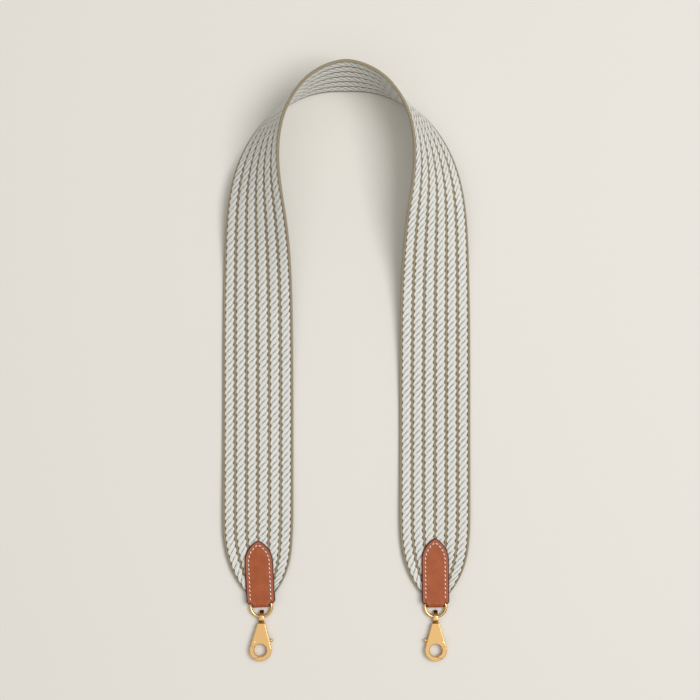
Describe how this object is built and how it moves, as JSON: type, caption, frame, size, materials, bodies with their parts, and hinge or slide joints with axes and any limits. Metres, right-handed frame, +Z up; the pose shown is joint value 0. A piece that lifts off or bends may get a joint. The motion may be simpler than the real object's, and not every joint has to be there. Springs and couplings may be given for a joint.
{
  "type": "bag strap",
  "caption": "Detachable bag strap of wide corded webbing, lying in an arch, with a folded leather tab, a D-ring and a sprung swivel hook at each end.",
  "frame": {"origin": "centre of the base of the bounding box, on the surface that the strap lies on", "axes": "+Z up from that surface, +Y from the hooks to the middle of the arch, +X to the right seen from above"},
  "size_m": [0.1748, 0.4164, 0.0517],
  "materials": {
    "taupe_tape": "matt, woven",
    "white_cord": "matt, laid cord",
    "tan_leather": "satin, fine grain",
    "gold_plate": "polished gold-coloured plating",
    "spring_steel": "drawn wire"
  },
  "bodies": {
    "strap": {"webbing_ground": "taupe_tape", "cord_1": "white_cord", "cord_2": "white_cord", "cord_3": "white_cord", "cord_4": "white_cord", "cord_5": "white_cord", "cord_6": "white_cord", "left_leather_tab": "tan_leather", "right_leather_tab": "tan_leather"},
    "left_ring": {"left_d_ring": "gold_plate"},
    "left_eye": {"left_swivel_eye": "gold_plate"},
    "left_hook": {"left_hook_body": "gold_plate", "left_gate_pin": "gold_plate", "left_gate_spring": "spring_steel"},
    "left_gate_arm": {"left_gate": "gold_plate"},
    "right_ring": {"right_d_ring": "gold_plate"},
    "right_eye": {"right_swivel_eye": "gold_plate"},
    "right_hook": {"right_hook_body": "gold_plate", "right_gate_pin": "gold_plate", "right_gate_spring": "spring_steel"},
    "right_gate_arm": {"right_gate": "gold_plate"}
  },
  "joints": [
    {"name": "left_ring_swing", "type": "hinge", "parent": "strap", "child": "left_ring", "pos_m": [-0.06011, -0.16746, 0.003], "axis": [0.9988, 0.0489, 0], "range_deg": [-45, 45]},
    {"name": "left_hook_tilt", "type": "hinge", "parent": "left_ring", "child": "left_eye", "pos_m": [-0.05964, -0.17715, 0.003], "axis": [0.9994, -0.0349, 0], "range_deg": [-110, 110]},
    {"name": "left_hook_swivel", "type": "hinge", "parent": "left_eye", "child": "left_hook", "pos_m": [-0.06045, -0.20049, 0.003], "axis": [-0.0349, -0.9994, 0], "continuous": true},
    {"name": "left_gate_opening", "type": "hinge", "parent": "left_hook", "child": "left_gate_arm", "pos_m": [-0.06506, -0.19492, 0.003], "axis": [0, 0, 1], "range_deg": [0, 20], "stiffness_Nm_per_rad": 0.01, "springref_deg": -114.59, "deforming": ["left_gate_spring"]},
    {"name": "right_ring_swing", "type": "hinge", "parent": "strap", "child": "right_ring", "pos_m": [0.06273, -0.16752, 0.003], "axis": [1, 0.0087, 0], "range_deg": [-45, 45]},
    {"name": "right_hook_tilt", "type": "hinge", "parent": "right_ring", "child": "right_eye", "pos_m": [0.06281, -0.17722, 0.003], "axis": [1, 0.007, 0], "range_deg": [-110, 110]},
    {"name": "right_hook_swivel", "type": "hinge", "parent": "right_eye", "child": "right_hook", "pos_m": [0.06298, -0.20056, 0.003], "axis": [0.007, -1, 0], "continuous": true},
    {"name": "right_gate_opening", "type": "hinge", "parent": "right_hook", "child": "right_gate_arm", "pos_m": [0.06774, -0.19513, 0.003], "axis": [0, 0, -1], "range_deg": [0, 20], "stiffness_Nm_per_rad": 0.01, "springref_deg": -114.59, "deforming": ["right_gate_spring"]}
  ]
}
